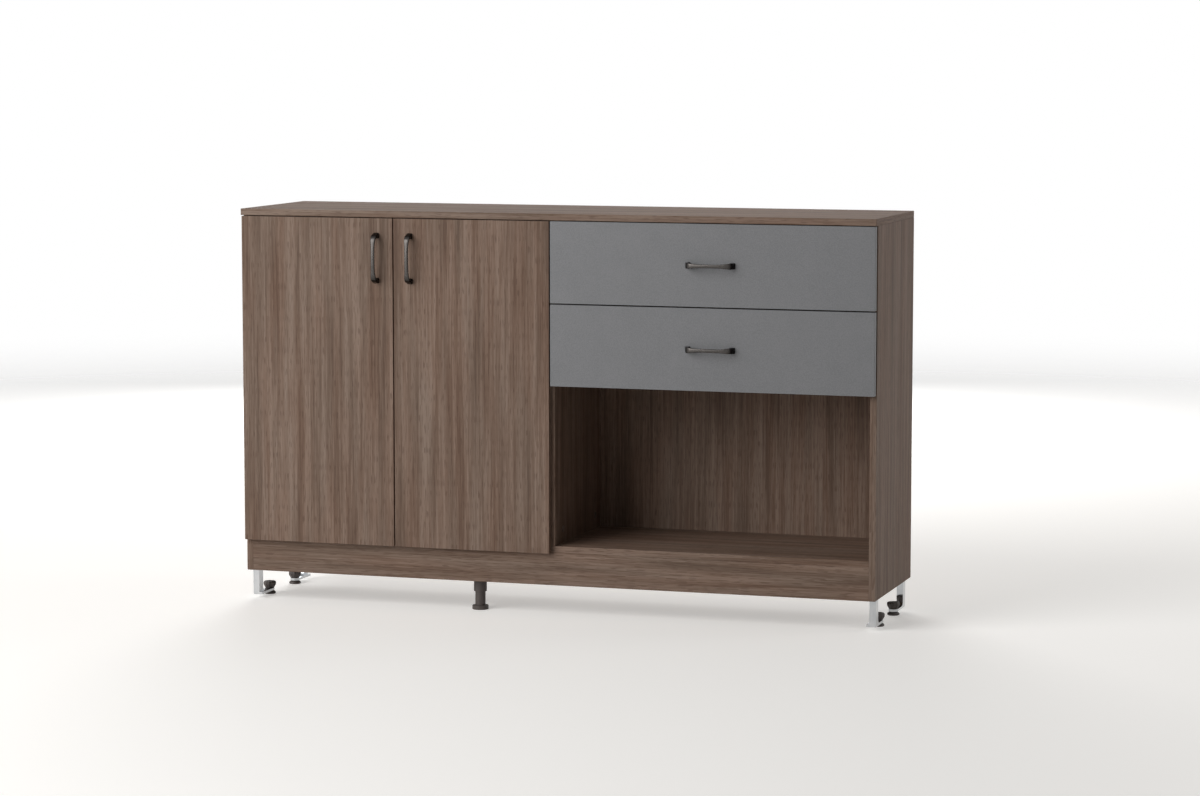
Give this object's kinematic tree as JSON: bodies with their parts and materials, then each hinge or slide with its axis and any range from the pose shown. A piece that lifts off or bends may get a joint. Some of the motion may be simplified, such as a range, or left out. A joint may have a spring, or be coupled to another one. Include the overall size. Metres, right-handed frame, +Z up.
{
  "type": "office credenza",
  "caption": "Low office storage cabinet with a hinged-door cupboard, drawers above an open compartment, bow handles and chrome legs on levelling feet.",
  "frame": {"origin": "on the floor, under the middle of the bounding box", "axes": "+X to the right along the width, +Y from the doors to the back, +Z up"},
  "size_m": [1.6, 0.427, 0.975],
  "materials": {
    "walnut_board": "matte woodgrain laminate",
    "grey_board": "matte grey laminate",
    "drawer_box_board": "plain light grey laminate",
    "dark_nickel": "polished black nickel",
    "chrome_plate": "polished chrome",
    "zinc_steel": "zinc plated sheet",
    "nickel_steel": "nickel plated",
    "black_plastic": "fine matte"
  },
  "bodies": {
    "carcass": {"top_panel": "walnut_board", "left_side_panel": "walnut_board", "right_side_panel": "walnut_board", "partition_panel": "walnut_board", "bottom_panel": "walnut_board", "drawer_bay_floor_panel": "walnut_board", "front_plinth_rail": "walnut_board", "rear_plinth_rail": "walnut_board", "back_panel": "walnut_board", "adjustable_shelf": "walnut_board", "left_front_shelf_pin": "nickel_steel", "left_rear_shelf_pin": "nickel_steel", "right_front_shelf_pin": "nickel_steel", "right_rear_shelf_pin": "nickel_steel", "left_door_lower_hinge_arm": "nickel_steel", "left_door_upper_hinge_arm": "nickel_steel", "right_door_lower_hinge_arm": "nickel_steel", "right_door_upper_hinge_arm": "nickel_steel", "lower_left_slide_cabinet_member": "zinc_steel", "lower_right_slide_cabinet_member": "zinc_steel", "upper_left_slide_cabinet_member": "zinc_steel", "upper_right_slide_cabinet_member": "zinc_steel", "front_left_leg": "chrome_plate", "front_right_leg": "chrome_plate", "rear_left_leg": "chrome_plate", "rear_right_leg": "chrome_plate", "middle_support_socket": "black_plastic"},
    "left_door": {"left_door": "walnut_board", "left_door_handle": "dark_nickel", "left_door_lower_hinge_cup": "nickel_steel", "left_door_upper_hinge_cup": "nickel_steel"},
    "right_door": {"right_door": "walnut_board", "right_door_handle": "dark_nickel", "right_door_lower_hinge_cup": "nickel_steel", "right_door_upper_hinge_cup": "nickel_steel"},
    "lower_drawer": {"lower_drawer_front": "grey_board", "lower_drawer_handle": "dark_nickel", "lower_drawer_left_side": "drawer_box_board", "lower_drawer_right_side": "drawer_box_board", "lower_drawer_back": "drawer_box_board", "lower_drawer_bottom": "drawer_box_board", "lower_left_slide_drawer_member": "zinc_steel", "lower_right_slide_drawer_member": "zinc_steel"},
    "lower_slide_middles": {"lower_left_slide_middle_member": "zinc_steel", "lower_right_slide_middle_member": "zinc_steel"},
    "upper_drawer": {"upper_drawer_front": "grey_board", "upper_drawer_handle": "dark_nickel", "upper_drawer_left_side": "drawer_box_board", "upper_drawer_right_side": "drawer_box_board", "upper_drawer_back": "drawer_box_board", "upper_drawer_bottom": "drawer_box_board", "upper_left_slide_drawer_member": "zinc_steel", "upper_right_slide_drawer_member": "zinc_steel"},
    "upper_slide_middles": {"upper_left_slide_middle_member": "zinc_steel", "upper_right_slide_middle_member": "zinc_steel"},
    "front_left_leveller": {"front_left_leveller": "black_plastic"},
    "front_right_leveller": {"front_right_leveller": "black_plastic"},
    "rear_left_leveller": {"rear_left_leveller": "black_plastic"},
    "rear_right_leveller": {"rear_right_leveller": "black_plastic"},
    "middle_support_foot": {"middle_support_foot": "black_plastic"}
  },
  "joints": [
    {"name": "left_door_hinge", "type": "hinge", "parent": "carcass", "child": "left_door", "pos_m": [-0.793, -0.1825, 0.5555], "axis": [0, 0, -1], "range_deg": [0, 105]},
    {"name": "right_door_hinge", "type": "hinge", "parent": "carcass", "child": "right_door", "pos_m": [-0.0065, -0.1825, 0.5555], "axis": [0, 0, 1], "range_deg": [0, 90]},
    {"name": "lower_drawer_slide", "type": "slide", "parent": "carcass", "child": "lower_drawer", "axis": [0, -1, 0], "range_m": [0, 0.3]},
    {"name": "lower_slide_middles_slide", "type": "slide", "parent": "carcass", "child": "lower_slide_middles", "axis": [0, -1, 0], "range_m": [0, 0.15]},
    {"name": "upper_drawer_slide", "type": "slide", "parent": "carcass", "child": "upper_drawer", "axis": [0, -1, 0], "range_m": [0, 0.3]},
    {"name": "upper_slide_middles_slide", "type": "slide", "parent": "carcass", "child": "upper_slide_middles", "axis": [0, -1, 0], "range_m": [0, 0.15]},
    {"name": "front_left_leveller_turn", "type": "hinge", "parent": "carcass", "child": "front_left_leveller", "pos_m": [-0.784, -0.0665, 0.02], "axis": [0, 0, 1], "continuous": true},
    {"name": "front_right_leveller_turn", "type": "hinge", "parent": "carcass", "child": "front_right_leveller", "pos_m": [0.784, -0.0665, 0.02], "axis": [0, 0, 1], "continuous": true},
    {"name": "rear_left_leveller_turn", "type": "hinge", "parent": "carcass", "child": "rear_left_leveller", "pos_m": [-0.784, 0.0965, 0.02], "axis": [0, 0, 1], "continuous": true},
    {"name": "rear_right_leveller_turn", "type": "hinge", "parent": "carcass", "child": "rear_right_leveller", "pos_m": [0.784, 0.0965, 0.02], "axis": [0, 0, 1], "continuous": true},
    {"name": "middle_support_turn", "type": "hinge", "parent": "carcass", "child": "middle_support_foot", "pos_m": [-0.2, -0.1245, 0.04], "axis": [0, 0, 1], "continuous": true}
  ],
  "couplings": [
    {"joint": "lower_slide_middles_slide", "follows": "lower_drawer_slide", "ratio": 0.5},
    {"joint": "upper_slide_middles_slide", "follows": "upper_drawer_slide", "ratio": 0.5}
  ]
}
